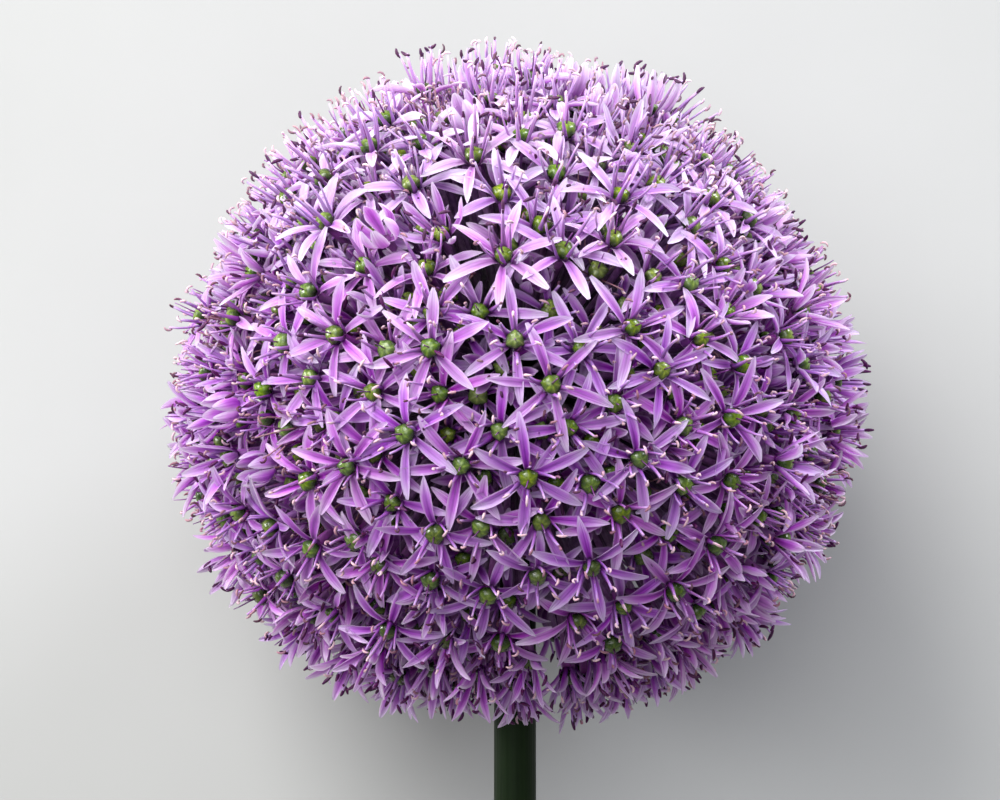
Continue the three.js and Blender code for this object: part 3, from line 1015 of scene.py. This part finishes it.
def addPetals(body, floret, look, frame3, origin):
    n = floret["number"]
    vary = petal["vary"]
    most = math.radians(look["wobble"])
    opened = spread(n, 26, 0, 2) * most * (0.5 if floret["handSet"] else 1)
    for k in range(6):
        m = n * 7 + k * 1.37
        inner = k % 2
        wobble = spread(m, 16, 0, 1.2) * most
        angles = [math.radians(angle) for angle in look["petals"]]
        angles[0] += opened * 0.4 + petal["innerSteeper"] * inner
        angles[1] += opened + wobble
        angles[2] += opened + wobble + spread(m, 17, 0, 2.6) * most
        length = petal["length"] * look["size"] * spread(m, 15, 1, vary["length"]) * floret["size"]
        rows = bentLine(petal["along"], length, angles, (petal["startRadius"], petal["startHeight"][inner]))
        turned = turnedBy(frame3, floret["turn"] + k * math.pi / 3 + spread(m, 18, 0, vary["turn"]))
        wide = [spread(m, 20, 1, vary["width"]) * look["width"]] * len(rows)
        deep = [spread(m, 27, *petal["thick"])] * len(rows)
        twist = 0 if look is stages["bud"] else spread(m, 21, 0, vary["twist"])
        sway = 0 if look is stages["bud"] else spread(m, 19, 0, vary["sway"])
        verts = addCopy(body, shapes["petals"][int(chance(m, 28) * len(shapes["petals"]))])
        bendOrgan(verts, rows, turned, origin, wide, deep, twist, 0, sway)
        paint(body["bm"], verts, shadeOf(floret, m))


stamen = {
    "foot": 1.35 * mm,
    "tip": 0.6 * mm,
    "thick": 0.52 * mm,
    "startRadius": 1.45 * mm,
    "startHeight": 0.5 * mm,
    "steps": 4,
    "longerUp": 0.22,
    # how much chance changes it
    "vary": {"lean": 20, "length": 0.2, "turn": 0.35, "sway": 2.4 * mm, "twist": 1.2, "anther": 0.4},
    "curl": (8, 26),
    "withered": {"lean": 30, "curl": 70, "thick": 0.75},  # what it adds, and the share of the thickness
    "antherHeld": 0.35,  # where along the anther the filament ends
    "fresh": {"length": 2.4 * mm, "width": 0.78 * mm, "swing": (0, 160), "bow": (30, 80)},
    "spent": {"length": 2 * mm, "width": 0.58 * mm, "swing": (60, 150), "bow": (130, 120)},
}


def addStamens(body, floret, look, frame3, origin):
    n = floret["number"]
    shares = [step / stamen["steps"] for step in range(stamen["steps"] + 1)]
    vary, more = stamen["vary"], stamen["withered"]
    withered = 0 if look["petals"] else 1
    thick = stamen["thick"] * (more["thick"] if withered else 1)
    foot, tip = (thick, thick) if withered else (stamen["foot"], stamen["tip"])
    wide = [tip + (foot - tip) * (1 - t) ** 2 for t in shares]
    deep = [thick * (1 - 0.15 * t) for t in shares]
    for k in range(6):
        m = n * 11 + k * 2.31
        lean = math.radians(90 - look["lean"] + spread(m, 40, 0, vary["lean"] + more["lean"] * withered))
        curl = math.radians(spread(m, 41, stamen["curl"][0], stamen["curl"][1] + more["curl"] * withered))
        length = look["filament"] * spread(m, 42, 1, vary["length"]) * floret["size"]
        length *= 1 + stamen["longerUp"] * floret["at"].z
        angles = (lean - curl * 0.5, lean, lean + curl)
        rows = bentLine(stamen["steps"], length, angles, (stamen["startRadius"], stamen["startHeight"]))
        turned = turnedBy(frame3, floret["turn"] + k * math.pi / 3 + spread(m, 43, 0, vary["turn"]))
        sway = spread(m, 44, 0, vary["sway"])
        shade = shadeOf(floret, m)
        verts = addCopy(body, shapes["filament"])
        along = bendOrgan(verts, rows, turned, origin, wide, deep, spread(m, 47, 0, vary["twist"]), 0, sway)
        paint(body["bm"], verts, shade, [(t, 0, withered) for t in along])
        fresh = chance(m, 48) < look["fresh"]
        kind = stamen["fresh" if fresh else "spent"]
        length = kind["length"] * spread(m, 49, 1, vary["anther"])
        out, up, angle = rows[-1]
        swing = angle + math.radians(spread(m, 50, *kind["swing"]))
        bow = math.radians(spread(m, 51, *kind["bow"]))
        before = length * stamen["antherHeld"]
        start = (out - math.cos(swing) * before, up - math.sin(swing) * before)
        bent = bentLine(stamen["steps"], length, (swing - bow / 2, swing, swing + bow / 2), start)
        thick = [kind["width"] * (0.4 + 0.6 * math.sin(math.pi * (0.05 + 0.9 * t))) for t in shares]
        verts = addCopy(body, shapes["anther"])
        bendOrgan(verts, bent, turned, origin, thick, thick, 0, sway)
        paint(body["bm"], verts, shade, [(0.5, 1 if fresh else 0, chance(m, 52))] * len(verts), 1)


style = {"length": 4.6 * mm, "thick": 0.42 * mm, "lean": (84, 18), "steps": 4}


def addOvary(body, floret, look, frame3, origin):
    n = floret["number"]
    size = ovary["radius"] * spread(n, 60, 1, 0.18) * (ovary["young"] if look is stages["young"] else 1)
    # painted shade: ovaries towards the stem are darker
    darker = ovary["darker"] * max(0, -floret["at"].z)
    shade = (chance(n, 61), chance(n, 62), chance(n, 63) - darker)
    turned = turnedBy(frame3, floret["turn"])
    verts = addCopy(body, shapes["ovary"])
    for vert in verts:
        vert.co = onFloor(origin + turned @ (vert.co * size + Vector((0, 0, ovary["foot"] + size * 0.8))))
    paint(body["bm"], verts, shade)
    lean = math.radians(spread(n, 64, *style["lean"]))
    length = style["length"] * spread(n, 65, 1, 0.4)
    start = (0, ovary["foot"] + size * 1.35)
    rows = bentLine(style["steps"], length, (lean, lean + 0.05, lean - 0.2), start)
    thick = [style["thick"] * (1 - 0.12 * step) for step in range(style["steps"] + 1)]
    verts = addCopy(body, shapes["filament"])
    along = bendOrgan(verts, rows, turnedBy(frame3, chance(n, 66) * math.tau), origin, thick, thick)
    paint(body["bm"], verts, shade, [(0.5, 1, t) for t in along])


stalk = {
    "thick": 1.5 * mm,
    "cup": 2.2 * mm,  # thickness right under the petals
    "cupFrom": 0.93,
    "endsAt": 0.35 * mm,  # over the foot of the petals
    "fan": 0.075,  # how far the stalks of a group stand apart on the knob
    "start": 7.3 * mm,
    "bow": 2.4 * mm,
}


def footDirection(group):  # where on the knob the stalks of a group spring from
    z = 1 - (1 - group[2]) * (1 - math.cos(head["footLimit"])) / (1 - math.cos(head["groupLimit"]))
    out = math.sqrt(1 - z * z) / math.hypot(group[0], group[1])
    return Vector((group[0] * out, group[1] * out, z))


def addStalk(body, floret, group, frame3, origin):
    n = floret["number"]
    foot = footDirection(group)
    away = (origin - Vector(group) * (head["radius"] - floretHeight)) * stalk["fan"]
    start = foot * (stalk["start"] - away.dot(foot)) + away
    along = origin + frame3 @ Vector((0, 0, stalk["endsAt"])) - start
    side = along.orthogonal().normalized()
    other = along.normalized().cross(side)
    bow = Vector((spread(n, 70, 0, 1), spread(n, 71, 0, 1), spread(n, 72, -0.2, 1))) * stalk["bow"]
    verts = addCopy(body, shapes["stalk"])
    shares = []
    for vert in verts:
        x, y, z = vert.co
        t = min(1, max(0, y)) ** 0.6
        past = max(0, (t - stalk["cupFrom"]) / (1 - stalk["cupFrom"]))
        width = stalk["thick"] * (0.85 + 0.15 * t) + (stalk["cup"] - stalk["thick"]) * past ** 1.5
        vert.co = onFloor(start + along * t + bow * math.sin(math.pi * t) + (side * x + other * z) * width)
        shares.append(t)
    paint(body["bm"], verts, (chance(n, 73), chance(n, 74), chance(n, 75)), [(t, 0, 0) for t in shares])


organsInFloret = {"petals": 6, "stamens": 12, "ovaries": 2, "stalks": 1}
floretSize = {"deep": 0.9, "handSet": 1.04, "usual": 0.96, "vary": 0.1}


def makeCyme(number, group):
    members = [floret for floret in florets if floret["group"] == number]
    bodies = {}
    for slot, organs in organsInFloret.items():
        bodies[slot] = {"bm": newShape(), "cells": math.ceil(math.sqrt(organs * len(members))), "used": 0}
    for floret in members:
        look = stages[stageOf(floret)]
        size = floretSize["deep" if floret["deep"] else "handSet" if floret["handSet"] else "usual"]
        floret["size"] = size * spread(floret["number"], 10, 1, floretSize["vary"])
        frame3, origin = floretFrame(floret)
        if look["petals"]:
            addPetals(bodies["petals"], floret, look, frame3, origin)
        if look["filament"]:
            addStamens(bodies["stamens"], floret, look, frame3, origin)
            addOvary(bodies["ovaries"], floret, look, frame3, origin)
        addStalk(bodies["stalks"], floret, group, frame3, origin)
    label = f"{number + 1:02d}"
    for slot, body in bodies.items():
        addPiece(f"{slot}_{label}", body["bm"], slot, f"cyme_{label}")


for number, group in enumerate(groups):
    makeCyme(number, group)
print("florets made")


def makeStem():
    low, rim, knob = -stem["length"], stem["rim"], stem["knob"]
    profile = [(0, low + rim), (stem["radiusCut"] * stem["pith"], low + rim * 0.7)]
    profile.append((stem["radiusCut"] * stem["edge"], low))
    for step in range(stem["steps"] + 1):
        t = step / stem["steps"]
        radius = stem["radiusCut"] + (stem["radiusTop"] - stem["radiusCut"]) * t
        profile.append((radius, low + rim + (stem["length"] - rim - knob * 0.9) * t))
    for degrees in range(stem["knobFrom"], 0, -stem["knobStep"]):
        angle = math.radians(degrees)
        profile.append((knob * math.sin(angle), knob * math.cos(angle)))
    profile.append((0, knob))
    bm = newShape()
    tintLayer = bm.verts.layers.float_color["tint"]
    verts = [bm.verts.new((x, 0, z)) for x, z in profile]
    edges = [bm.edges.new(pair) for pair in zip(verts, verts[1:])]
    for n, vert in enumerate(verts):
        vert[tintLayer] = (1 if n < 2 else 0, 0.5, 0.5, 1)
    around = {"axis": (0, 0, 1), "angle": math.tau, "steps": stem["sides"]}
    bmesh.ops.spin(bm, geom=verts + edges, use_merge=True, **around)
    bmesh.ops.remove_doubles(bm, verts=bm.verts, dist=0.001 * mm)
    bmesh.ops.recalc_face_normals(bm, faces=bm.faces)
    for vert in bm.verts:
        along = max(0, -vert.co.z - stem["straight"])
        vert.co.x += stem["bend"] * along * along
        vert.co = head["centre"] + lieDown @ vert.co
    bm.loops.layers.uv.remove(bm.loops.layers.uv["OFBake"])
    addPiece("stem_with_knob", bm, "stem", "scape")


makeStem()
print("stem made")


floorReach = 3  # metres to each side


def makeFloor():
    bm = bmesh.new()
    bmesh.ops.create_grid(bm, x_segments=1, y_segments=1, size=floorReach)
    floor = bpy.data.objects.new("floor", keepShape(bm, "floor"))
    floor.data.materials.append(makeFloorSkin())
    bpy.context.collection.objects.link(floor)
    floor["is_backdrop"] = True


makeFloor()
print("floor made")

cadBox, visualBox = [[list(corner) for corner in box] for box in (cadBox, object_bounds())]
print("sizes written:", cadBox, visualBox)
